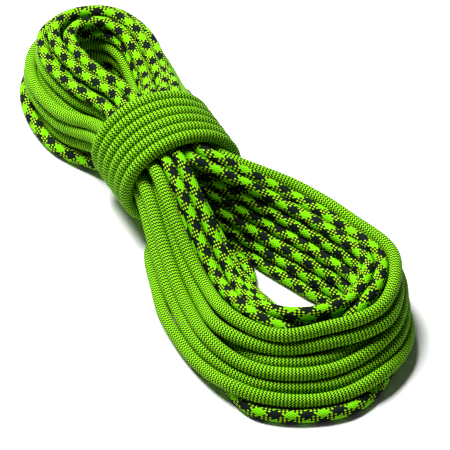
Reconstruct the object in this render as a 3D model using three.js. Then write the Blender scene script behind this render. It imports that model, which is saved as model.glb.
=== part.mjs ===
// A kernmantle climbing rope put up as an elongated coil: its turns lie round two eyes, six wraps bind
// the waist between them, and both ends lie along one side. Millimetres, +Z up, +Y along the coil.
import * as THREE from 'three';

// ---- driving dimensions -------------------------------------------------------------------------

const ROPE_D = 10;
const ROW_RISE = 0.87 * ROPE_D; // height gained by each layer of strands that nest in the one below
const LAYERS = 6;
const COIL_HEIGHT = ROPE_D + (LAYERS - 1) * ROW_RISE;
const HALF_GAP = 0.4; // half the clearance between the coil's two halves

const WRAPS = 6;
const WRAP_PITCH = 10.2;
const WAIST_HALF_WIDTH = 39;
const WAIST_HALF_HEIGHT = 32.8;
const WRAP_CLEARANCE = 1.6;
const WAIST_HEIGHT = WAIST_HALF_HEIGHT + WRAP_CLEARANCE + ROPE_D; // height of the waist's axis
const WAIST_CENTRE_X = 2;

const SHEATH_WALL = 1.1;
const CORE_STRANDS = 7; // one straight strand and six twisted round it
const CORE_STRAND_R = 1.1;
const CORE_RING_R = 2.5;
const CORE_LAY = 60; // length of one turn of the twist
const SLEEVE_LENGTH = 32;
const SLEEVE_BORE_R = ROPE_D / 2 + 0.3;
const SLEEVE_WALL = 0.6;
const TIP_LENGTH = 4;
const TIP_GAP = 0.3;
const TAIL_Z = 6.4; // the sleeve, which is wider than the rope, clears the ground

// How finely the parts are drawn: rings along a sweep, and half the sides round it.
const LOFT_STEPS = 3; // rings from each cross-section of the coil to the next
const WRAP_SIDES = 36;
const SHEATH_MESH = { rings: 22, halfSides: 6 };
const CORE_MESH = { rings: 18, halfSides: 3 };
const SLEEVE_MESH = { rings: 8, halfSides: 8 };
const TIP_SIDES = 16;
const GUIDE_PITCH = 6; // between the points that guide the sheath and the sleeve
const CORE_GUIDE_PITCH = 8;

// ---- materials ----------------------------------------------------------------------------------

const finishes = {
  zigzag: { color: 0x7fb010, roughness: 0.8 },
  checker: { color: 0x6fc81a, roughness: 0.8 },
  core: { color: 0xe9e6dc, roughness: 0.9 },
  sleeve: { color: 0x16181a, roughness: 0.4 },
  tip: { color: 0x20231f, roughness: 0.35 },
};

function material(name) {
  return new THREE.MeshStandardMaterial({ ...finishes[name], metalness: 0 });
}

function piece(name, geometry, finish) {
  const mesh = new THREE.Mesh(geometry, finish);
  mesh.name = name;
  return mesh;
}

// ---- the coil -----------------------------------------------------------------------------------

// One cross-section of the coil outside the waist. x and y are the foot of its innermost column of
// strands, angle points outward in plan, lean is how far it slants outward for each unit of height,
// foot is how far the outer half spreads on the ground, in rope diameters, and lift is its height.
const rightLeg = [
  { x: 17, y: -54, angle: 14, lean: 0.35, foot: 3.5, lift: 14 },
  { x: 34, y: -97, angle: 22, lean: 0.72, foot: 3.5, lift: 5 },
  { x: 48, y: -138, angle: 15, lean: 0.72, foot: 4.7, lift: 0 },
  { x: 66, y: -178, angle: -5, lean: 0.42, foot: 4.9, lift: 0 },
];
const nearEnd = [
  { x: 58, y: -212, angle: -45, lean: 0, foot: 4.9, lift: 0 },
  { x: 22, y: -230, angle: -92, lean: -0.4, foot: 4.8, lift: 0 },
  { x: -14, y: -214, angle: -140, lean: -0.35, foot: 4.7, lift: 0 },
];
const leftLeg = [
  { x: -37, y: -175, angle: -172, lean: -0.15, foot: 4, lift: 0 },
  { x: -33, y: -130, angle: -182, lean: -0.15, foot: 3.8, lift: 0 },
  { x: -16, y: -75, angle: -192, lean: -0.1, foot: 3.5, lift: 7 },
];
const farLeft = [
  { x: -12, y: 54, angle: -165, lean: -0.1, foot: 4.2, lift: 7 },
  { x: -26, y: 98, angle: -180, lean: -0.2, foot: 4.6, lift: 0 },
  { x: -20, y: 138, angle: -215, lean: -0.1, foot: 4.4, lift: 0 },
];
const farEnd = [
  { x: 12, y: 154, angle: -265, lean: 0.45, foot: 3.5, lift: 0 },
  { x: 34, y: 132, angle: -317, lean: 0.35, foot: 3.5, lift: 0 },
];
const farRight = [
  { x: 23, y: 95, angle: -360, lean: 0.1, foot: 3.3, lift: 0 },
  { x: 14, y: 54, angle: -372, lean: 0.05, foot: 3.3, lift: 9 },
];
const waistStops = [-33, -11, 11, 33];

// Outlines of the two halves outside the waist, as [outward, up] pairs. The halves share one wall,
// which both outlines follow upwards first, so that their skins stay the same distance apart.
function sharedWall(outward, height) {
  return [[outward, 0], [outward, 0.4 * height], [outward, 0.7 * height], [outward, 0.9 * height]];
}

const innerLoopOutline = (() => {
  const face = -0.5 * ROPE_D;
  const corner = 0.35 * ROPE_D;
  return [
    ...sharedWall(1.5 * ROPE_D - HALF_GAP, COIL_HEIGHT),
    [1.5 * ROPE_D - corner, COIL_HEIGHT],
    [face + corner, COIL_HEIGHT],
    [face, COIL_HEIGHT - corner],
    [face, corner],
    [face + corner, 0],
  ];
})();

function outerLoopOutline(foot) {
  return [
    ...sharedWall(1.5 * ROPE_D + HALF_GAP, COIL_HEIGHT),
    [2.6 * ROPE_D, 0.86 * COIL_HEIGHT],
    [3.5 * ROPE_D, 0.52 * COIL_HEIGHT],
    [foot * ROPE_D, ROPE_D],
    [foot * ROPE_D, 0],
  ];
}

// Outlines inside the waist, where each leg's halves fill one side of an oval.
function ovalHeight(x) {
  return WAIST_HALF_HEIGHT * Math.sqrt(1 - (x / WAIST_HALF_WIDTH) ** 2);
}

function waistWall(outward) {
  const reach = ovalHeight(WAIST_HALF_WIDTH / 2 + HALF_GAP);
  return [[outward, -reach], [outward, -0.2 * reach], [outward, 0.4 * reach], [outward, 0.95 * reach]];
}

const innerWaistOutline = (() => {
  const wall = WAIST_HALF_WIDTH / 2 - HALF_GAP;
  const bevel = 0.35 * ROPE_D;
  return [
    ...waistWall(wall),
    [wall - bevel, ovalHeight(wall - bevel)],
    [bevel, ovalHeight(bevel)],
    [HALF_GAP, ovalHeight(bevel) - bevel],
    [HALF_GAP, bevel - ovalHeight(bevel)],
    [bevel, -ovalHeight(bevel)],
  ];
})();

const outerWaistOutline = (() => {
  const shoulder = 0.79 * WAIST_HALF_WIDTH;
  const flank = 0.97 * WAIST_HALF_WIDTH;
  return [
    ...waistWall(WAIST_HALF_WIDTH / 2 + HALF_GAP),
    [shoulder, ovalHeight(shoulder)],
    [flank, ovalHeight(flank)],
    [flank, -ovalHeight(flank)],
    [shoulder, -ovalHeight(shoulder)],
  ];
})();

function loopSection(station, outline) {
  const angle = THREE.MathUtils.degToRad(station.angle);
  return outline.map(([outward, up]) => {
    const reach = outward + station.lean * up;
    return new THREE.Vector3(
      station.x + Math.cos(angle) * reach,
      station.y + Math.sin(angle) * reach,
      station.lift + up,
    );
  });
}

function waistSection(side, y, outline) {
  return outline.map(([outward, up]) => (
    new THREE.Vector3(WAIST_CENTRE_X + side * outward, y, WAIST_HEIGHT + up)
  ));
}

// The cross-sections of one half, once round the coil: down the right leg and back by the left.
function coilSections(loopOutline, waistOutline) {
  const loop = (stations) => stations.map((s) => loopSection(s, loopOutline(s)));
  const waist = (side, stops) => stops.map((y) => waistSection(side, y, waistOutline));
  return [
    ...waist(1, [...waistStops].reverse()),
    ...loop(rightLeg),
    ...loop(nearEnd),
    ...loop(leftLeg),
    ...waist(-1, waistStops),
    ...loop(farLeft),
    ...loop(farEnd),
    ...loop(farRight),
  ];
}

// A closed skin through cross-sections with equally many corners, smooth from one to the next and
// flat where it meets the ground. wallOutside says on which side of the outline its first edge lies.
function closedLoft(sections, wallOutside) {
  const corners = sections[0].length;
  const rings = sections.length * LOFT_STEPS;
  const rails = sections[0].map((_, corner) => (
    new THREE.CatmullRomCurve3(sections.map((section) => section[corner]), true, 'catmullrom', 0.5)
  ));
  const positions = [];
  for (let ring = 0; ring < rings; ring += 1) {
    rails.forEach((rail) => {
      const point = rail.getPoint(ring / rings);
      positions.push(point.x, point.y, Math.max(point.z, 0));
    });
  }
  const indices = [];
  for (let ring = 0; ring < rings; ring += 1) {
    const next = (ring + 1) % rings;
    for (let corner = 0; corner < corners; corner += 1) {
      const beside = (corner + 1) % corners;
      const a = ring * corners + corner;
      const b = ring * corners + beside;
      const c = next * corners + beside;
      const d = next * corners + corner;
      indices.push(...(wallOutside ? [a, b, c, a, c, d] : [a, c, b, a, d, c]));
    }
  }
  const geometry = new THREE.BufferGeometry();
  geometry.setAttribute('position', new THREE.Float32BufferAttribute(positions, 3));
  geometry.setIndex(indices);
  geometry.computeVertexNormals();
  return geometry;
}

function checkerCoil() {
  const sections = coilSections(() => innerLoopOutline, innerWaistOutline);
  return piece('checker_half_coil', closedLoft(sections, true), material('checker'));
}

function zigzagCoil() {
  const sections = coilSections((station) => outerLoopOutline(station.foot), outerWaistOutline);
  return piece('zigzag_half_coil', closedLoft(sections, false), material('zigzag'));
}

// ---- the wraps round the waist ------------------------------------------------------------------

function waistWraps() {
  const boreX = WAIST_HALF_WIDTH + WRAP_CLEARANCE;
  const boreZ = WAIST_HALF_HEIGHT + WRAP_CLEARANCE;
  const mean = (boreX + boreZ) / 2;
  const length = WRAPS * WRAP_PITCH;
  const ridgeSteps = 4;
  const profile = [new THREE.Vector2(mean, -length / 2)];
  for (let wrap = 0; wrap < WRAPS; wrap += 1) {
    for (let step = wrap === 0 ? 0 : 1; step <= ridgeSteps; step += 1) {
      const turn = (Math.PI * step) / ridgeSteps;
      const along = (wrap + 0.5) * WRAP_PITCH - length / 2 - (WRAP_PITCH / 2) * Math.cos(turn);
      profile.push(new THREE.Vector2(mean + ROPE_D * (0.6 + 0.4 * Math.sin(turn)), along));
    }
  }
  profile.push(new THREE.Vector2(mean, length / 2));
  profile.push(profile[0].clone());
  const geometry = new THREE.LatheGeometry(profile, WRAP_SIDES);
  geometry.scale(boreX / mean, 1, boreZ / mean);
  const mesh = piece('waist_wraps', geometry, material('zigzag'));
  mesh.position.set(WAIST_CENTRE_X, 0, WAIST_HEIGHT);
  return mesh;
}

// ---- the two ends -------------------------------------------------------------------------------

// Each end lies on the ground beside the waist: [x, y] from where it leaves the coil to its tip.
const zigzagTail = [
  [28, 36.4], [34.5, 36.6], [41, 37.4], [47, 39.4], [52, 42.8], [56, 47.4], [59, 52.8], [61.2, 58.8],
  [62.8, 65], [64, 71.6], [64.9, 78.4], [65.5, 85.4], [66, 92.4], [66.3, 99.4], [66.5, 106.4],
];
const checkerTail = [
  [97, -106], [91.5, -97.5], [87, -88.5], [83.2, -79.5], [80, -70.5], [77.3, -61.5], [75, -52.5],
  [73, -43.5], [71.4, -34.5], [70, -25.5], [68.9, -16.5], [68, -7.5], [67.4, 1.5], [67, 10.5], [66.8, 19],
];

function tailCurve(route) {
  return new THREE.CatmullRomCurve3(route.map(([x, y]) => new THREE.Vector3(x, y, TAIL_Z)));
}

function circle(radius) {
  return new THREE.Shape().absarc(0, 0, radius, 0, 2 * Math.PI, false);
}

function ring(outer, bore) {
  const shape = circle(outer);
  shape.holes.push(new THREE.Path().absarc(0, 0, bore, 0, 2 * Math.PI, true));
  return shape;
}

function sweep(shape, path, { rings, halfSides }) {
  return new THREE.ExtrudeGeometry(shape, {
    steps: rings,
    curveSegments: halfSides,
    bevelEnabled: false,
    extrudePath: path,
  });
}

// Part of a curve between two lengths from its start.
function stretch(curve, from, to, pitch, offset = () => new THREE.Vector2(0, 0)) {
  const total = curve.getLength();
  const count = Math.max(2, Math.round((to - from) / pitch));
  const points = [];
  for (let i = 0; i <= count; i += 1) {
    const along = from + ((to - from) * i) / count;
    const point = curve.getPointAt(along / total);
    const forward = curve.getTangentAt(along / total);
    const sideways = new THREE.Vector3(-forward.y, forward.x, 0).normalize();
    const shift = offset(along);
    points.push(point.addScaledVector(sideways, shift.x).add(new THREE.Vector3(0, 0, shift.y)));
  }
  return new THREE.CatmullRomCurve3(points);
}

function coreStrand(name, curve, length, index) {
  const ringRadius = index === 0 ? 0 : CORE_RING_R;
  const offset = (along) => {
    const turn = (2 * Math.PI * along) / CORE_LAY + (2 * Math.PI * index) / (CORE_STRANDS - 1);
    return new THREE.Vector2(ringRadius * Math.cos(turn), ringRadius * Math.sin(turn));
  };
  const path = stretch(curve, 0, length, CORE_GUIDE_PITCH, offset);
  const geometry = sweep(circle(CORE_STRAND_R), path, CORE_MESH);
  return piece(`${name}_core_${index + 1}`, geometry, material('core'));
}

function fusedTip(name, curve, start) {
  const radius = ROPE_D / 2 - 0.1;
  const profile = [
    new THREE.Vector2(0, 0),
    new THREE.Vector2(radius, 0),
    new THREE.Vector2(radius, 0.5 * TIP_LENGTH),
    new THREE.Vector2(0.75 * radius, 0.9 * TIP_LENGTH),
    new THREE.Vector2(0, TIP_LENGTH),
  ];
  const mesh = piece(`${name}_fused_tip`, new THREE.LatheGeometry(profile, TIP_SIDES), material('tip'));
  const at = start / curve.getLength();
  mesh.position.copy(curve.getPointAt(at));
  mesh.quaternion.setFromUnitVectors(new THREE.Vector3(0, 1, 0), curve.getTangentAt(at));
  return mesh;
}

// One end of the rope: braided sheath over twisted core strands, shrink sleeve, and melted tip.
function ropeEnd(name, route, pattern) {
  const curve = tailCurve(route);
  const sheathEnd = curve.getLength() - TIP_LENGTH - TIP_GAP;
  const sleeveStart = sheathEnd - SLEEVE_LENGTH;
  const sheathPath = stretch(curve, 0, sheathEnd, GUIDE_PITCH);
  const sleevePath = stretch(curve, sleeveStart, sheathEnd, GUIDE_PITCH);
  const sheath = sweep(ring(ROPE_D / 2, ROPE_D / 2 - SHEATH_WALL), sheathPath, SHEATH_MESH);
  const sleeve = sweep(ring(SLEEVE_BORE_R + SLEEVE_WALL, SLEEVE_BORE_R), sleevePath, SLEEVE_MESH);
  const end = new THREE.Group();
  end.add(piece(`${name}_tail_sheath`, sheath, material(pattern)));
  for (let strand = 0; strand < CORE_STRANDS; strand += 1) {
    end.add(coreStrand(name, curve, sheathEnd, strand));
  }
  end.add(piece(`${name}_end_sleeve`, sleeve, material('sleeve')));
  end.add(fusedTip(name, curve, sheathEnd + TIP_GAP));
  return end;
}

// ---- the whole rope -----------------------------------------------------------------------------

const rope = new THREE.Group();
rope.add(checkerCoil());
rope.add(zigzagCoil());
rope.add(waistWraps());
rope.add(ropeEnd('checker', checkerTail, 'checker'));
rope.add(ropeEnd('zigzag', zigzagTail, 'zigzag'));

// The origin is under the middle of the whole coil, on the ground.
const box = new THREE.Box3().setFromObject(rope);
rope.position.set(-(box.min.x + box.max.x) / 2, -(box.min.y + box.max.y) / 2, -box.min.z);

export default rope;
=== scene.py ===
"""A climbing rope put up as an elongated coil, bound round its waist with its own end.

One rope, followed from the end of its checkered half to the end of its zigzag half: the checkered
half lies in the inner turns, the zigzag half in the outer turns and in the wraps round the waist.
"""

import itertools
import math

import bpy
import numpy as np
from mathutils import Matrix, Vector


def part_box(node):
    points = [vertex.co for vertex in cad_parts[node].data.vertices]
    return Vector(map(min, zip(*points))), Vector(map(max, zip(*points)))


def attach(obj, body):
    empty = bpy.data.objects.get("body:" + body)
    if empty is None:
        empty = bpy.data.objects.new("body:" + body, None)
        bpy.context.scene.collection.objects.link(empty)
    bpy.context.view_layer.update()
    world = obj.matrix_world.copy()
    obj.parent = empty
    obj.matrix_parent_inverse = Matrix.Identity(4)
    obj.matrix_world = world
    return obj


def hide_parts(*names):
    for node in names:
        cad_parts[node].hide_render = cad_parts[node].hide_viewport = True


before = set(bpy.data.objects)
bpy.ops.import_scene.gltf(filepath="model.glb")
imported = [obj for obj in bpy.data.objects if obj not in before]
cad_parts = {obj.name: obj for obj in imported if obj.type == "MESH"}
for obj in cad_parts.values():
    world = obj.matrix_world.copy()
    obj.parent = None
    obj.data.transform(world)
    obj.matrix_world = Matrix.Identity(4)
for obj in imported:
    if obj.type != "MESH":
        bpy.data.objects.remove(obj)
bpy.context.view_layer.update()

# ---- sizes ---------------------------------------------------------------------------------------

MM = 0.001
ROPE_D = 10.0  # the rope's route is worked out in millimetres, from a point under the waist
ROW_RISE = 0.87 * ROPE_D  # height gained by each layer of strands
COLUMN_ROWS = (6, 6, 5, 3)  # strands in each column of a leg, from the eye outwards
TURNS = 21
CHECKER_TURNS = 11  # the first turns are the checkered half's
WAIST_X = 2.0  # x of the waist's axis

WRAPS = 6
WRAP_PITCH = 10.2
WRAP_STEPS = 24  # points of the route in each wrap
WRAP_HALF_WIDTH = 45.2  # from the waist's axis to the middle of a wrap
WRAP_HALF_HEIGHT = 39.2
WAIST_Z = WRAP_HALF_HEIGHT + 0.5 * ROPE_D
TAIL_Z = 6.4  # height of the middle of both ends, so that their wider sleeves clear the ground

TIGHTEST_BEND = 2.6 * ROPE_D  # radius
STEP = 5.0  # spacing of the route's points while the strands settle
RING_STEP = 3.0  # spacing of the rings of the finished rope
RING_SIDES = 16

CHECKER_YARNS = 16  # yarns round the rope in each direction
ZIGZAG_YARNS = 14
CHECKER_PITCH = 2.88 * MM  # length along the rope between crossings in a row
ZIGZAG_PITCH = 2.65 * MM
PATTERN_YARNS = 8  # yarns in one repeat of the checkered pattern
TOOTH_REACH = 1.08  # how far the zigzags swing along the rope, in pitches, for each yarn round it
TWISTS = {0.31: 0.7, 0.47: 0.9}  # waves in the rope's twist: length in metres, and reach in radians

VIEW_AZIMUTH = math.radians(26.3)
VIEW_ELEVATION = math.radians(42.0)
VIEW_DISTANCE = 3.0
AIM = Vector((26.3, -52.6, 7.5))  # what the camera looks at, measured as the route is
LENS = 312.0

waist_low, waist_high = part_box("waist_wraps")
ORIGIN = Vector(
    (
        (waist_low.x + waist_high.x) / 2 - WAIST_X * MM,
        (waist_low.y + waist_high.y) / 2,
        0,
    )
)


def in_frame(points):
    """Points of the route, in millimetres from under the waist, as metres in the frame."""
    return np.asarray(points, float) * MM + np.array(ORIGIN)


# ---- camera --------------------------------------------------------------------------------------


def make_camera():
    forward = Vector(
        (
            math.sin(VIEW_AZIMUTH) * math.cos(VIEW_ELEVATION),
            math.cos(VIEW_AZIMUTH) * math.cos(VIEW_ELEVATION),
            -math.sin(VIEW_ELEVATION),
        )
    )
    right = Vector((math.cos(VIEW_AZIMUTH), -math.sin(VIEW_AZIMUTH), 0))
    up = right.cross(forward)
    camera = bpy.data.objects.new("camera", bpy.data.cameras.new("camera"))
    bpy.context.scene.collection.objects.link(camera)
    camera.data.lens = LENS
    camera.data.sensor_width = 36
    camera.data.clip_end = 20
    axes = Matrix((right, up, -forward)).transposed().to_4x4()
    place = AIM * MM + ORIGIN - forward * VIEW_DISTANCE
    camera.matrix_world = Matrix.Translation(place) @ axes
    bpy.context.scene.camera = camera


make_camera()

# ---- the rope's route ----------------------------------------------------------------------------

# Each dict is one cross-section of a loop: x and y are the foot of its innermost column of strands,
# angle points outward in plan, lean is how far it slants outward for each unit of height, and lift is
# its height. places moves some turns, by number, from their slots to another (column outwards, row
# upwards), and turns are those that pass through the section, where not all of them do.
AFTER_THE_FIRST = range(1, TURNS)
NEAR_LOOP = [
    dict(
        x=33, y=-97, angle=20, lean=0.54, turns=AFTER_THE_FIRST,
        places={17: (1.95, 5), 16: (2.2, 4), 18: (3.1, 3.2)},
    ),
    dict(
        x=50, y=-140, angle=15, lean=0.54, turns=AFTER_THE_FIRST,
        places={17: (2, 4.9), 16: (2.5, 4), 18: (3.2, 3.1), 19: (3.4, 2), 20: (3.5, 1)},
    ),
    dict(
        x=63, y=-180, angle=-5, lean=0.42,
        places={
            0: (3.1, 0), 15: (2.1, 3.1), 16: (2.6, 4.1), 17: (2, 5), 18: (3, 3), 19: (3.5, 2),
            20: (3.8, 0.9),
        },
    ),
    dict(
        x=54, y=-210, angle=-45, lean=0,
        places={
            0: (3.3, 0), 1: (-0.6, 0), 2: (-0.3, 1), 6: (0, 5.1), 7: (1, 5), 15: (2.1, 3.5),
            16: (2.8, 3.9), 17: (2, 4.7), 18: (3.2, 2.9), 19: (3.7, 1.9), 20: (4, 0.8),
        },
    ),
    dict(
        x=22, y=-211, angle=-92, lean=0,
        places={
            0: (5.9, 0), 7: (0.95, 3.2), 8: (1, 2.15), 9: (1, 1.1), 10: (1, 0), 11: (2, 1.1), 12: (2, 0),
            13: (3, 0), 14: (3.05, 1), 15: (2.6, 2.65), 16: (1.75, 3.45), 17: (0.9, 4.3),
            18: (3.4, 1.9), 19: (4.25, 1.2), 20: (5.1, 0.55),
        },
    ),
    dict(
        x=4, y=-198, angle=-135, lean=0,
        places={
            0: (6.4, 0), 3: (0.1, 1.9), 4: (0.2, 2.9), 5: (0.3, 3.9), 6: (0.3, 4.9), 7: (1, 4.2),
            8: (1.2, 2.9), 9: (1.1, 1.9), 10: (1.1, 0.9), 11: (2.1, 1.5), 12: (2, 0), 13: (3, 0),
            14: (3.3, 1.2), 15: (3.2, 2.4), 16: (2.6, 3.3), 17: (1.9, 4.2), 18: (4, 2.2),
            19: (4.8, 1.4), 20: (5.5, 0.6),
        },
    ),
    dict(
        x=2, y=-172, angle=-168, lean=0,
        places={
            0: (5, 0), 2: (1, 0), 3: (0.5, 1.05), 4: (0.9, 2.1), 5: (0.4, 3.3), 6: (1.1, 4.1), 7: (2.1, 4.2),
            8: (2.1, 3.2), 9: (2.2, 2.1), 10: (1.8, 1.1), 11: (2.9, 1.2), 12: (2, 0), 13: (3, 0),
            14: (4, 0), 15: (3.9, 2.1), 16: (4.1, 3.2), 17: (3.2, 4), 18: (4.9, 2.3), 19: (5.6, 1.3),
            20: (6, 0.3),
        },
    ),
    dict(
        x=10, y=-125, angle=180, lean=0,
        places={
            0: (5.4, 0), 2: (1, 0), 3: (0.7, 1), 4: (2, 1), 5: (0.8, 2.2), 6: (1.6, 3), 7: (2.7, 3),
            8: (3.3, 2), 9: (2.5, 2), 10: (3, 1), 11: (4, 1), 12: (2, 0), 13: (3.05, 0), 14: (4.1, 0),
            15: (5.1, 1), 16: (4.4, 2.3), 17: (3.75, 3), 18: (5.4, 2), 19: (6, 1), 20: (6.7, 0),
        },
    ),
    dict(x=14, y=-99, angle=180, lean=0, turns=(1, 2), places={1: (-0.6, 0), 2: (0.4, 0.1)}),
]
FAR_LOOP = [
    dict(
        x=-8, y=58, angle=190, lean=-0.1, lift=17,
        places={0: (2.6, -1.3), 9: (1.9, 4.5), 13: (2.5, 0.4), 16: (2, 3.6), 18: (3, 2.9), 19: (3, 2)},
    ),
    dict(
        x=-18, y=98, angle=180, lean=-0.12, lift=11,
        places={0: (3.5, -1.26), 9: (1.8, 4.3), 13: (2.8, -0.5)},
    ),
    dict(
        x=-14.5, y=145, angle=162, lean=-0.03, lift=4,
        places={0: (3.5, -0.46), 9: (1.8, 4.3), 13: (2.6, -0.3)},
    ),
    dict(x=-6.2, y=161.7, angle=122, lean=0.05, lift=1, places={0: (3.2, 0), 13: (2.3, 0)}),
    dict(x=8.6, y=167, angle=86, lean=0.1, places={0: (3.1, 0), 18: (3, 2.4), 19: (3.1, 1.3)}),
    dict(
        x=23.8, y=159.5, angle=48, lean=0.1,
        places={0: (2.6, 0), 13: (2, 0.9), 14: (2, 1.8), 15: (2, 2.7), 18: (2.9, 2.1), 19: (2.9, 1)},
    ),
    dict(
        x=29.5, y=139, angle=10, lean=0.04, lift=2,
        places={0: (1.8, 0), 13: (2, 0.9), 14: (2, 1.8), 18: (2.8, 1.5), 19: (2.8, 0.4)},
    ),
    dict(
        x=23, y=96, angle=2, lean=0.06, lift=3,
        places={0: (1.2, -0.35), 10: (1, 2.7), 18: (2.9, 1.6), 19: (2.9, 0.5)},
    ),
    dict(
        x=13, y=58, angle=-10, lean=0.05, lift=13,
        places={0: (0.3, -1), 9: (2, 4.6), 16: (2, 3.6), 18: (3, 2.7), 19: (3, 1.7)},
    ),
]
FAR_SWAPS = {3: 12, 12: 3, 4: 11, 11: 4, 9: 17, 17: 9}  # turns in one another's slots in the far loop
LEFT_OF_WAIST = {0: (2, 0), 13: (3, 0)}  # turns that keep to other slots in the left of the waist
FIRST_TURN_AT_WAIST = (9, -31)  # x and z, from the waist's axis, where it comes back from the far loop
WAIST_STOPS = (-33, -11, 11, 33)  # y of the route's points inside the waist
WAIST_COLUMN_X = (5.2, 14.9, 24.6, 33.8)  # distance of each column of strands from the waist's axis
WAIST_COLUMN_REACH = (27.8, 26.0, 20.5, 10.2)  # from the axis up, and down, to a column's last strands

# The ends, lying on the ground beside the waist, from where each leaves the coil to its tip.
ZIGZAG_TAIL = [
    (28, 36.4), (34.5, 36.6), (41, 37.4), (47, 39.4), (52, 42.8), (56, 47.4), (59, 52.8), (61.2, 58.8),
    (62.8, 65), (64, 71.6), (64.9, 78.4), (65.5, 85.4), (66, 92.4), (66.3, 99.4), (66.5, 106.4),
]
CHECKER_TAIL = [
    (97, -106), (91.5, -97.5), (87, -88.5), (83.2, -79.5), (80, -70.5), (77.3, -61.5), (75, -52.5),
    (73, -43.5), (71.4, -34.5), (70, -25.5), (68.9, -16.5), (68, -7.5), (67.4, 1.5), (67, 10.5), (66.8, 19),
]
SHEATH_END = 4.3  # the sheath stops this far short of the tip, which is melted
END_GAP = 0.5  # least distance from the end of a stretch of rope to the next ring
CHECKER_TAIL_TO_COIL = [(101.5, -116, 6), (105.5, -131, 5.3), (108.5, -150, 5)]
WAIST_TO_FIRST_WRAP = [(-49, -92, 5), (-39, -62, 5.2), (-26, -42, 5.2)]


def slots():
    """(column, row) of each turn after the first: up the first column, down the second, and so on."""
    order = []
    for column, rows in enumerate(COLUMN_ROWS):
        filled = list(range(rows))
        order += [(column, row) for row in (filled if column % 2 == 0 else filled[::-1])]
    return order


SLOTS = slots()


def slot(turn, far=False):
    """A turn's (column, row), where some turns have swapped theirs on the far side."""
    return SLOTS[(FAR_SWAPS.get(turn, turn) if far else turn) - 1]


def loop_point(station, turn, far):
    """Where a turn passes through a station of the far loop, or of the near one."""
    column, row = station["places"].get(turn) or slot(turn, far)
    z = 0.5 * ROPE_D + ROW_RISE * row + station.get("lift", 0)
    outward = ROPE_D * column + station["lean"] * (z - 0.5 * ROPE_D)
    angle = math.radians(station["angle"])
    return (station["x"] + math.cos(angle) * outward, station["y"] + math.sin(angle) * outward, z)


def place_in_waist(turn, side, far=False):
    """x and z of a turn where it enters or leaves the waist, on the left (-1) or the right (1)."""
    if turn == 0 and side > 0:
        across, up = FIRST_TURN_AT_WAIST
        return np.array([WAIST_X + across, WAIST_Z + up])
    column, row = LEFT_OF_WAIST[turn] if side < 0 and turn in LEFT_OF_WAIST else slot(turn, far)
    middle = (COLUMN_ROWS[column] - 1) / 2
    up = (row - middle) / middle * WAIST_COLUMN_REACH[column]
    return np.array([WAIST_X + side * WAIST_COLUMN_X[column], WAIST_Z + up])


def through_the_waist(start, finish, stops):
    """From one place to another, both as x and z, while y runs over stops."""
    for y in stops:
        x, z = start + (finish - start) * (y - stops[0]) / (stops[-1] - stops[0])
        yield (x, y, z)


def wrap_points():
    """The wraps round the waist, from just before the first to just past the last."""
    points = []
    for step in range(-1, WRAPS * WRAP_STEPS + 2):
        turned = 2 * math.pi * step / WRAP_STEPS
        x = WAIST_X + WRAP_HALF_WIDTH * math.sin(turned)
        y = WRAP_PITCH * (step / WRAP_STEPS - WRAPS / 2)
        z = WAIST_Z - WRAP_HALF_HEIGHT * math.cos(turned)
        points.append((x, y, z))
    return points


def route():
    """Every point the rope is led through, and the numbers of those where turns and wraps start."""
    points = [(x, y, TAIL_Z) for x, y in reversed(CHECKER_TAIL)] + CHECKER_TAIL_TO_COIL
    starts = {}
    for turn in range(TURNS):
        starts[turn] = len(points)
        near_loop = [station for station in NEAR_LOOP if turn in station.get("turns", range(TURNS))]
        points += [loop_point(station, turn, False) for station in near_loop]
        if turn < TURNS - 1:
            entry, way_out = place_in_waist(turn, -1), place_in_waist(turn, -1, far=True)
            points += through_the_waist(entry, way_out, WAIST_STOPS)
            points += [loop_point(station, turn, True) for station in FAR_LOOP]
            entry, way_out = place_in_waist(turn, 1, far=True), place_in_waist(turn + 1, 1)
            points += through_the_waist(entry, way_out, WAIST_STOPS[::-1])
    points += WAIST_TO_FIRST_WRAP
    starts["wraps"] = len(points)
    points += wrap_points()
    points += [(x, y, TAIL_Z) for x, y in ZIGZAG_TAIL]
    return np.array(points, float), starts


def lengths_along(points):
    """How far along its line each point lies."""
    return np.concatenate([[0], np.cumsum(np.linalg.norm(np.diff(points, axis=0), axis=1))])


def smooth_curve(points, step):
    """A smooth curve through points, as points a step apart, and how far along it each given point is."""
    knots = np.cumsum(np.concatenate([[0], np.linalg.norm(np.diff(points, axis=0), axis=1) ** 0.5]))
    slopes = np.empty_like(points)
    before, after = np.diff(knots)[:-1, None], np.diff(knots)[1:, None]
    chords = np.diff(points, axis=0) / np.diff(knots)[:, None]
    slopes[1:-1] = (chords[:-1] * after + chords[1:] * before) / (before + after)
    slopes[0], slopes[-1] = chords[0], chords[-1]
    dense = 24  # points of the fine line from each given point to the next
    t = np.linspace(0, 1, dense, endpoint=False)[None, :, None]
    gap = np.diff(knots)[:, None, None]
    p0, p1, m0, m1 = points[:-1, None], points[1:, None], slopes[:-1, None], slopes[1:, None]
    fine = (
        (2 * t**3 - 3 * t**2 + 1) * p0
        + (t**3 - 2 * t**2 + t) * gap * m0
        + (3 * t**2 - 2 * t**3) * p1
        + (t**3 - t**2) * gap * m1
    ).reshape(-1, 3)
    fine = np.vstack([fine, points[-1]])
    along = lengths_along(fine)
    return resample(fine, step), along[::dense]


def resample(points, step):
    """Points spaced evenly along the line through the given ones, about a step apart."""
    along = lengths_along(points)
    wanted = np.linspace(0, along[-1], max(2, round(along[-1] / step)) + 1)
    return np.stack([np.interp(wanted, along, points[:, axis]) for axis in range(3)], axis=1)


# ---- settling: strands push each other a diameter apart ------------------------------------------

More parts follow.
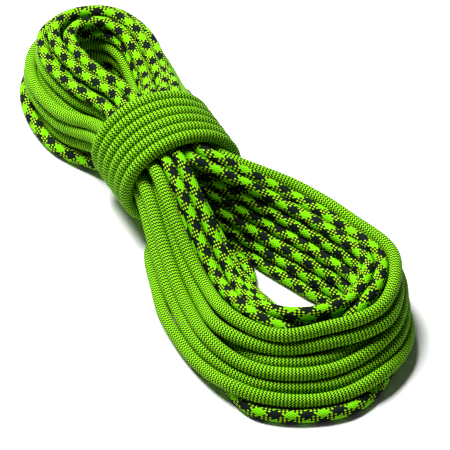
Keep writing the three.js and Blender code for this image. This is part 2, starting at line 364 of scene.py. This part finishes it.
SEED = 16
WANDER_LENGTH = 70.0  # the rope's sideways wandering changes over this length
WANDER_REACH = 0.9
ROUNDS = 260
FREE_AFTER = 0.75  # the share of the rounds in which strands are also drawn back to where they were led
DRAW_BACK = 0.012  # the share of the way back, in each of those rounds
ROUNDS_TO_A_SEARCH = 8  # rounds for which one search for neighbouring strands serves
NEIGHBOUR_REACH = 1.7 * ROPE_D
OWN_STRETCH = 2.2 * ROPE_D  # length of rope that each point leaves alone on either side of it
ABREAST = 0.6 * STEP  # points no further than this ahead of each other lie side by side
PUSH = 0.75  # the share of an overlap that a round undoes
CROWDING = 0.55  # how much a point's many contacts weaken each other
OVERSHOOT = 1.4
LOOSEN_ENDS = 6  # passes that soften the change from the free rope to the fixed ends


def close_pairs(points, reach):
    """Pairs of points nearer than reach, both ways round, found by sorting them into cubes."""
    cells = np.floor(points / reach).astype(np.int64)
    cells -= cells.min(0) - 1
    size = cells.max(0) + 2
    keys = (cells[:, 0] * size[1] + cells[:, 1]) * size[2] + cells[:, 2]
    order = np.argsort(keys, kind="stable")
    sorted_keys = keys[order]
    firsts, seconds = [], []
    for dx, dy, dz in itertools.product((-1, 0, 1), repeat=3):
        shift = (dx * size[1] + dy) * size[2] + dz
        low = np.searchsorted(sorted_keys, keys + shift, "left")
        count = np.searchsorted(sorted_keys, keys + shift, "right") - low
        first = np.repeat(np.arange(len(points)), count)
        offset = np.arange(count.sum()) - np.repeat(np.cumsum(count) - count, count)
        firsts.append(first)
        seconds.append(order[np.repeat(low, count) + offset])
    first, second = np.concatenate(firsts), np.concatenate(seconds)
    near = np.linalg.norm(points[first] - points[second], axis=1) < reach
    return first[near], second[near]


def smoothed(offsets, times):
    """The same array, changed in place: each inner value is averaged with its neighbours."""
    for _ in range(times):
        offsets[1:-1] = 0.25 * (offsets[:-2] + offsets[2:]) + 0.5 * offsets[1:-1]
    return offsets


def straighten(points, mobility):
    """Eases the bends that are tighter than the rope can make."""
    reach = 2  # points each way that a bend is measured over
    sag = 0.5 * (points[: -2 * reach] + points[2 * reach :]) - points[reach:-reach]
    allowed = (reach * STEP) ** 2 / (2 * TIGHTEST_BEND)
    excess = np.maximum(0, 1 - allowed / np.maximum(np.linalg.norm(sag, axis=1), allowed))
    points[reach:-reach] += 0.5 * sag * (excess * mobility[reach:-reach])[:, None]


def push_apart(points, mobility, first, second):
    """Moves first points off the second ones that they overlap, further if they are the freer ones."""
    tangent = np.gradient(points, axis=0)
    tangent /= np.linalg.norm(tangent, axis=1, keepdims=True)
    between = points[first] - points[second]
    ahead = np.einsum("ij,ij->i", between, tangent[second])
    across = between - ahead[:, None] * tangent[second]
    distance = np.linalg.norm(across, axis=1)
    touching = (np.abs(ahead) < ABREAST) & (distance < ROPE_D)
    a, b = first[touching], second[touching]
    share = mobility[a] / np.maximum(mobility[a] + mobility[b], 1e-6)
    push = across[touching] / np.maximum(distance[touching], 0.1)[:, None]
    push *= ((ROPE_D - distance[touching]) * share * PUSH)[:, None]
    moved = np.stack([np.bincount(a, push[:, axis], len(points)) for axis in range(3)], axis=1)
    contacts = np.bincount(a, minlength=len(points))
    points += moved / np.maximum(1, CROWDING * contacts)[:, None] * OVERSHOOT


def settle(target, mobility, rounds):
    """Moves the strands off each other and the ground, each staying as near its target as it can."""
    points = target.copy()
    for number in range(rounds):
        if number % ROUNDS_TO_A_SEARCH == 0:
            first, second = close_pairs(points, NEIGHBOUR_REACH)
            other = np.abs(first - second) > round(OWN_STRETCH / STEP)
            first, second = first[other], second[other]
        push_apart(points, mobility, first, second)
        straighten(points, mobility)
        kept, passes = (1, 1) if number > rounds * FREE_AFTER else (1 - DRAW_BACK, 2)
        offsets = smoothed((points - target) * kept, passes) * mobility[:, None]
        points = target + offsets
        points[:, 2] = np.maximum(points[:, 2], 0.5 * ROPE_D)
    return points


def wandering(count, generator):
    """Slow sideways wandering of a hand-laid rope, at so many points."""
    knots = generator.normal(0, WANDER_REACH, (int(count * STEP / WANDER_LENGTH) + 3, 3))
    place = np.arange(count) * STEP / WANDER_LENGTH
    low = place.astype(int)
    share = (place - low)[:, None]
    share = share * share * (3 - 2 * share)
    return knots[low] * (1 - share) + knots[low + 1] * share


def freedom(count, first, end):
    """How freely each point may be pushed: not at all before first or from end on."""
    mobility = np.ones(count)
    mobility[:first] = 0
    mobility[end:] = 0
    mobility = smoothed(mobility, LOOSEN_ENDS)
    mobility[:first] = 0
    mobility[end:] = 0
    return mobility


def lay_rope():
    """The rope's centreline, settled, and the numbers of its points where turns and wraps start."""
    points, starts = route()
    target, along = smooth_curve(points, STEP)
    spacing = along[-1] / (len(target) - 1)
    numbers = {key: int(round(along[place] / spacing)) for key, place in starts.items()}
    tail_end = int(round(along[len(CHECKER_TAIL) - 1] / spacing))
    mobility = freedom(len(target), tail_end, numbers["wraps"])
    target += wandering(len(target), np.random.default_rng(SEED)) * mobility[:, None]
    return settle(target, mobility, ROUNDS), numbers


centreline, turn_numbers = lay_rope()

# ---- the rope's surface --------------------------------------------------------------------------


def tube_frames(points):
    """Unit vectors sideways and upwards at each point, turning no more than the curve does."""
    tangents = np.gradient(points, axis=0)
    tangents /= np.linalg.norm(tangents, axis=1, keepdims=True)
    sideways = np.empty_like(points)
    current = np.cross(tangents[0], (0, 0, 1))
    for number, tangent in enumerate(tangents):
        current = current - tangent * (current @ tangent)
        current = current / math.sqrt(current @ current)
        sideways[number] = current
    return sideways, np.cross(sideways, tangents)


def twist(along):
    """How far a hand-laid rope has turned about its own axis, at distances along it."""
    return sum(reach * np.sin(2 * math.pi * along / wave) for wave, reach in TWISTS.items())


def tube_rings(points, along):
    """The rope's surface, as a ring of points round each of the given ones."""
    sideways, upwards = tube_frames(points)
    angles = 2 * math.pi * np.arange(RING_SIDES) / RING_SIDES + twist(along)[:, None]
    radius = 0.5 * ROPE_D * MM
    return (
        points[:, None]
        + radius * np.cos(angles)[:, :, None] * sideways[:, None]
        + radius * np.sin(angles)[:, :, None] * upwards[:, None]
    )


def tube_faces(count):
    """The quads between count rings, and the two caps."""
    ring, side = np.meshgrid(np.arange(count - 1), np.arange(RING_SIDES), indexing="ij")
    beside = (side + 1) % RING_SIDES
    corners = [ring * RING_SIDES + side, ring * RING_SIDES + beside]
    corners += [(ring + 1) * RING_SIDES + beside, (ring + 1) * RING_SIDES + side]
    quads = np.stack(corners, axis=-1).reshape(-1, 4).tolist()
    last_ring = (count - 1) * RING_SIDES
    return quads, [list(range(RING_SIDES))[::-1], list(range(last_ring, last_ring + RING_SIDES))]


def braid_map(along):
    """Coordinates of every face's corners: times round the rope, and metres along it."""
    ring, side = np.meshgrid(np.arange(len(along) - 1), np.arange(RING_SIDES), indexing="ij")
    around = np.stack([side, side + 1, side + 1, side], axis=-1).reshape(-1, 4) / RING_SIDES
    ends = [along[ring], along[ring], along[ring + 1], along[ring + 1]]
    distance = np.stack(ends, axis=-1).reshape(-1, 4)
    of_quads = np.stack([around, distance], axis=-1).reshape(-1, 2)
    of_caps = np.zeros((2 * RING_SIDES, 2))
    of_caps[:, 1] = np.repeat([along[0], along[-1]], RING_SIDES)
    return np.vstack([of_quads, of_caps]).astype(np.float32)


def rope_tube(name, points, start, material):
    """A closed tube along points, in metres, that begins at start metres along the rope."""
    along = start + lengths_along(points)
    quads, caps = tube_faces(len(points))
    mesh = bpy.data.meshes.new(name)
    mesh.from_pydata(tube_rings(points, along).reshape(-1, 3).tolist(), [], quads + caps)
    layer = mesh.uv_layers.new(name="braid")
    layer.data.foreach_set("uv", braid_map(along).ravel())
    mesh.polygons.foreach_set("use_smooth", [True] * len(quads) + [False] * len(caps))
    mesh.materials.append(material)
    mesh.update()
    tube = bpy.data.objects.new(name, mesh)
    bpy.context.scene.collection.objects.link(tube)
    return tube


# ---- materials -----------------------------------------------------------------------------------

LIME = (0.30, 0.96, 0.0, 1)
# the dots' own lime, made yellower as a painted highlight on the raised lone crossings
DOT_LIME_WITH_PAINTED_HIGHLIGHT = (0.44, 0.86, 0.0, 1)
LIME_OF_ZIGZAG = (0.40, 0.92, 0.0, 1)
# painted shade: a darker, greener lime that stands for the shade in the grooves between yarns
LIME_IN_PAINTED_GROOVE_SHADE = (0.05, 0.42, 0.0, 1)
BLACK_YARN = (0.005, 0.010, 0.008, 1)
GREENISH = (0.8, 1.0, 0.5, 1)  # the tint of what the yarns reflect
YARN_IOR = 1.1  # low, because light sinks in between the fibres
DOT_EDGE = 0.30  # a lone lime crossing shows as a dot where it stands higher than this
BLACK_SHARE = 0.52  # of each zigzag's width
RIDGE_SHARE = 0.7  # of the zigzags' relief; the crossings make the rest
BRAID_RELIEF = 0.3 * MM
FIBRE_RELIEF = 0.15  # as a share of the braid's


class Shader:
    """A material whose nodes are made by short calls; numbers and sockets may both be inputs."""

    def __init__(self, name):
        self.material = bpy.data.materials.new(name)
        self.material.use_nodes = True
        self.tree = self.material.node_tree
        self.surface = self.tree.nodes["Principled BSDF"]

    def node(self, kind, **settings):
        made = self.tree.nodes.new(kind)
        for key, value in settings.items():
            setattr(made, key, value)
        return made

    def feed(self, socket, value):
        if isinstance(value, bpy.types.NodeSocket):
            self.tree.links.new(value, socket)
        else:
            socket.default_value = value

    def math(self, operation, *values):
        made = self.node("ShaderNodeMath", operation=operation)
        for socket, value in zip(made.inputs, values):
            self.feed(socket, value)
        return made.outputs[0]

    def between(self, share, low, high):
        """A number, low where share is 0 and high where it is 1."""
        return self.math("MULTIPLY_ADD", share, high - low, low)

    def blend(self, share, a, b):
        """A colour, a where share is 0 and b where it is 1."""
        made = self.node("ShaderNodeMix", data_type="RGBA")
        colours = [socket for socket in made.inputs if socket.type == "RGBA"]
        self.feed(made.inputs[0], share)
        self.feed(colours[0], a)
        self.feed(colours[1], b)
        return next(socket for socket in made.outputs if socket.type == "RGBA")

    def noise(self, scale, detail=2.0):
        """Noise from 0 to 1 with about so many lumps to the metre."""
        made = self.node("ShaderNodeTexNoise")
        made.inputs["Scale"].default_value = scale
        made.inputs["Detail"].default_value = detail
        self.feed(made.inputs["Vector"], self.node("ShaderNodeTexCoord").outputs["Object"])
        return made.outputs["Fac"]

    def bump(self, height, distance, strength=1.0):
        """Relief that stands distance metres high where height is 1, shown at some strength."""
        made = self.node("ShaderNodeBump")
        made.inputs["Strength"].default_value = strength
        made.inputs["Distance"].default_value = distance
        self.feed(made.inputs["Height"], height)
        self.feed(self.surface.inputs["Normal"], made.outputs[0])


def rounded(shader, share):
    """0 at both sides of a yarn and 1 along its middle, from the share of the way across it."""
    return shader.math("SINE", shader.math("MULTIPLY", share, math.pi))


def either(shader, choice, first, second):
    """first where choice is 0 and second where it is 1."""
    kept = shader.math("MULTIPLY", first, shader.math("SUBTRACT", 1, choice))
    return shader.math("MULTIPLY_ADD", second, choice, kept)


def zigzag_yarns(shader, around, along, crossings):
    """Where the zigzag half is lime, its lime with painted shade in the grooves between yarns, and its
    height.

    Each yarn is a lime and a black one side by side, so zigzags of both run round the rope.
    """
    teeth = shader.math("PINGPONG", around, 0.5)
    band = shader.math("FRACT", shader.math("MULTIPLY_ADD", teeth, TOOTH_REACH, along))
    lime = shader.math("GREATER_THAN", band, BLACK_SHARE)
    ridge = rounded(shader, shader.math("FRACT", shader.math("MULTIPLY", band, 2)))
    low_crossings = shader.math("MULTIPLY", crossings, 1 - RIDGE_SHARE)
    height = shader.math("MULTIPLY_ADD", ridge, RIDGE_SHARE, low_crossings)
    # painted shade: the lime darkens towards the grooves, where the braid's relief is low
    return lime, shader.blend(height, LIME_IN_PAINTED_GROOVE_SHADE, LIME_OF_ZIGZAG), height


def checker_yarns(shader, families, crossings):
    """Where the checkered half is lime, its lime with painted shade in the grooves and a painted highlight
    on the dots, and its height.

    Four lime yarns follow four black ones in both families. Lime over lime makes the lime diamonds,
    black over black the black ones, and lime over black the dots between them.
    """
    numbers = [shader.math("FLOOR", family) for family in families]
    second_on_top = shader.math("FLOORED_MODULO", shader.math("ADD", *numbers), 2)
    groups = [shader.math("FLOORED_MODULO", number, PATTERN_YARNS) for number in numbers]
    limes = [shader.math("LESS_THAN", group, PATTERN_YARNS / 2 - 0.5) for group in groups]
    on_top = either(shader, second_on_top, *limes)
    beneath = either(shader, second_on_top, *reversed(limes))
    dot = shader.math("GREATER_THAN", crossings, DOT_EDGE)
    lime = shader.math("MULTIPLY", on_top, shader.math("MAXIMUM", beneath, dot))
    # painted shade: the lime diamonds darken away from the crossings' tops, into the grooves
    diamond = shader.blend(shader.between(crossings, 0.2, 1.0), LIME_IN_PAINTED_GROOVE_SHADE, LIME)
    # the dots take the yellower lime, a painted highlight; the diamonds take the lime with painted groove
    # shade
    return lime, shader.blend(beneath, DOT_LIME_WITH_PAINTED_HIGHLIGHT, diamond), crossings


def braid_material(name, zigzag):
    """Two families of yarns that cross: each shows over the other at every second crossing."""
    shader = Shader(name)
    place = shader.node("ShaderNodeSeparateXYZ")
    shader.feed(place.inputs[0], shader.node("ShaderNodeUVMap", uv_map="braid").outputs[0])
    yarns, pitch = (ZIGZAG_YARNS, ZIGZAG_PITCH) if zigzag else (CHECKER_YARNS, CHECKER_PITCH)
    around = shader.math("MULTIPLY", place.outputs[0], yarns)
    along = shader.math("DIVIDE", place.outputs[1], pitch)
    families = [shader.math("ADD", around, along), shader.math("SUBTRACT", around, along)]
    crossings = shader.math("MULTIPLY", *[rounded(shader, shader.math("FRACT", f)) for f in families])
    if zigzag:
        lime, lime_with_painted_shade, height = zigzag_yarns(shader, around, along, crossings)
    else:
        lime, lime_with_painted_shade, height = checker_yarns(shader, families, crossings)
    fibres = shader.noise(2600)
    clean = shader.between(shader.math("MULTIPLY", shader.noise(22), fibres), 0.8, 1.3)
    # random tone, times painted shade: the lime darkens towards black where the braid is low, in the grooves
    # between yarns
    tone_and_painted_shade = shader.math("MULTIPLY", clean, shader.between(height, 0.6, 1.0))
    colour = shader.blend(lime, BLACK_YARN, shader.blend(tone_and_painted_shade, BLACK_YARN, lime_with_painted_shade))
    shader.feed(shader.surface.inputs["Base Color"], colour)
    shader.feed(shader.surface.inputs["Roughness"], shader.between(fibres, 0.55, 0.75))
    shader.surface.inputs["IOR"].default_value = YARN_IOR
    shader.surface.inputs["Specular Tint"].default_value = GREENISH
    relief = shader.math("MULTIPLY_ADD", fibres, FIBRE_RELIEF, height)
    shader.bump(relief, distance=BRAID_RELIEF, strength=0.6)
    return shader.material


def core_material():
    """White twisted nylon yarn."""
    shader = Shader("core_yarn")
    fibres = shader.noise(1800, detail=3)
    colour = shader.blend(fibres, (0.62, 0.60, 0.54, 1), (0.86, 0.85, 0.80, 1))
    shader.feed(shader.surface.inputs["Base Color"], colour)
    shader.feed(shader.surface.inputs["Roughness"], shader.between(fibres, 0.6, 0.8))
    shader.bump(fibres, distance=0.15 * MM)
    return shader.material


def sleeve_material():
    """Black shrink tube, faintly rippled by the braid under it."""
    shader = Shader("shrink_sleeve")
    ripple = shader.noise(420)
    grain = shader.noise(3000)
    colour = shader.blend(ripple, (0.008, 0.009, 0.010, 1), (0.022, 0.024, 0.026, 1))
    shader.feed(shader.surface.inputs["Base Color"], colour)
    shader.feed(shader.surface.inputs["Roughness"], shader.between(grain, 0.25, 0.45))
    relief = shader.math("MULTIPLY_ADD", grain, 0.1, ripple)
    shader.bump(relief, distance=0.25 * MM, strength=0.7)
    return shader.material


def tip_material():
    """Yarn melted into a hard dark bead."""
    shader = Shader("melted_tip")
    lumps = shader.noise(600, detail=3)
    colour = shader.blend(lumps, (0.012, 0.014, 0.008, 1), (0.06, 0.075, 0.02, 1))
    shader.feed(shader.surface.inputs["Base Color"], colour)
    shader.feed(shader.surface.inputs["Roughness"], shader.between(lumps, 0.15, 0.45))
    shader.bump(lumps, distance=0.4 * MM)
    return shader.material


def dress(node, material):
    """Gives a CAD node's own mesh a material in every slot."""
    mesh_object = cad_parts[node]
    if not mesh_object.material_slots:
        mesh_object.data.materials.append(material)
    for held in mesh_object.material_slots:
        held.material = material


# ---- the rope's pieces ---------------------------------------------------------------------------


def cores_of_end(half):
    """The CAD nodes of the core strands in one half's end."""
    return [node for node in sorted(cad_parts) if node.startswith(f"{half}_core_")]


def make_stretch(fine, name, low, high, leaves, half, nodes, material):
    """One piece of the rope, from low to high along it. leaves, where it goes on from the rest, is not used.
    """
    along = lengths_along(fine)

    def point_at(distance):
        return [np.interp(distance, along, fine[:, axis]) for axis in range(3)]

    inside = (along > low + END_GAP) & (along < high - END_GAP)
    path = in_frame(np.vstack([point_at(low), fine[inside], point_at(high)]))
    tube = rope_tube(name, path, low * MM, material)
    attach(tube, "root")
    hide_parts(*nodes)


def make_rope():
    settled = lengths_along(centreline)
    start, end = SHEATH_END, settled[-1] - SHEATH_END
    middle = settled[turn_numbers[CHECKER_TURNS]]
    wraps = settled[turn_numbers["wraps"]]
    fine, _ = smooth_curve(centreline, RING_STEP)
    checker = dict(half="checker", material=braid_material("checker_braid", False))
    zigzag = dict(half="zigzag", material=braid_material("zigzag_braid", True))
    checker_nodes = ["checker_half_coil", "checker_tail_sheath"]
    wrap_nodes = ["waist_wraps", "zigzag_tail_sheath"]
    make_stretch(fine, "checker_half", start, middle, leaves=middle, nodes=checker_nodes, **checker)
    make_stretch(fine, "zigzag_coil", middle, wraps, leaves=middle, nodes=["zigzag_half_coil"], **zigzag)
    make_stretch(fine, "zigzag_wraps_and_tail", wraps, end, leaves=wraps, nodes=wrap_nodes, **zigzag)


def dress_ends():
    core, sleeve, tip = core_material(), sleeve_material(), tip_material()
    for half in ("checker", "zigzag"):
        for node in cores_of_end(half):
            dress(node, core)
        dress(f"{half}_end_sleeve", sleeve)
        dress(f"{half}_fused_tip", tip)


make_rope()
dress_ends()

# ---- floor and light -----------------------------------------------------------------------------


def make_floor():
    mesh = bpy.data.meshes.new("floor")
    reach = 15.0
    corners = [(-reach, -reach, 0), (reach, -reach, 0), (reach, reach, 0), (-reach, reach, 0)]
    mesh.from_pydata(corners, [], [(0, 1, 2, 3)])
    shader = Shader("floor_white")
    shader.surface.inputs["Base Color"].default_value = (0.80, 0.80, 0.80, 1)
    shader.surface.inputs["Roughness"].default_value = 0.9
    shader.surface.inputs["Specular IOR Level"].default_value = 0.1
    mesh.materials.append(shader.material)
    floor = bpy.data.objects.new("floor", mesh)
    bpy.context.scene.collection.objects.link(floor)


def area_light(name, place, size, power):
    """A square light that faces the frame's origin, under the coil."""
    data = bpy.data.lights.new(name, "AREA")
    data.size = size
    data.energy = power
    light = bpy.data.objects.new(name, data)
    bpy.context.scene.collection.objects.link(light)
    light.location = place
    light.rotation_mode = "QUATERNION"
    light.rotation_quaternion = (-Vector(place)).to_track_quat("-Z", "Y")


def make_light():
    world = bpy.data.worlds.new("studio")
    world.use_nodes = True
    background = world.node_tree.nodes["Background"]
    background.inputs["Color"].default_value = (1, 1, 1, 1)
    background.inputs["Strength"].default_value = 0.06
    bpy.context.scene.world = world
    area_light("key", place=(-0.4, 1.2, 2.5), size=1.2, power=220)
    bpy.context.scene.view_settings.view_transform = "Standard"


make_floor()
make_light()
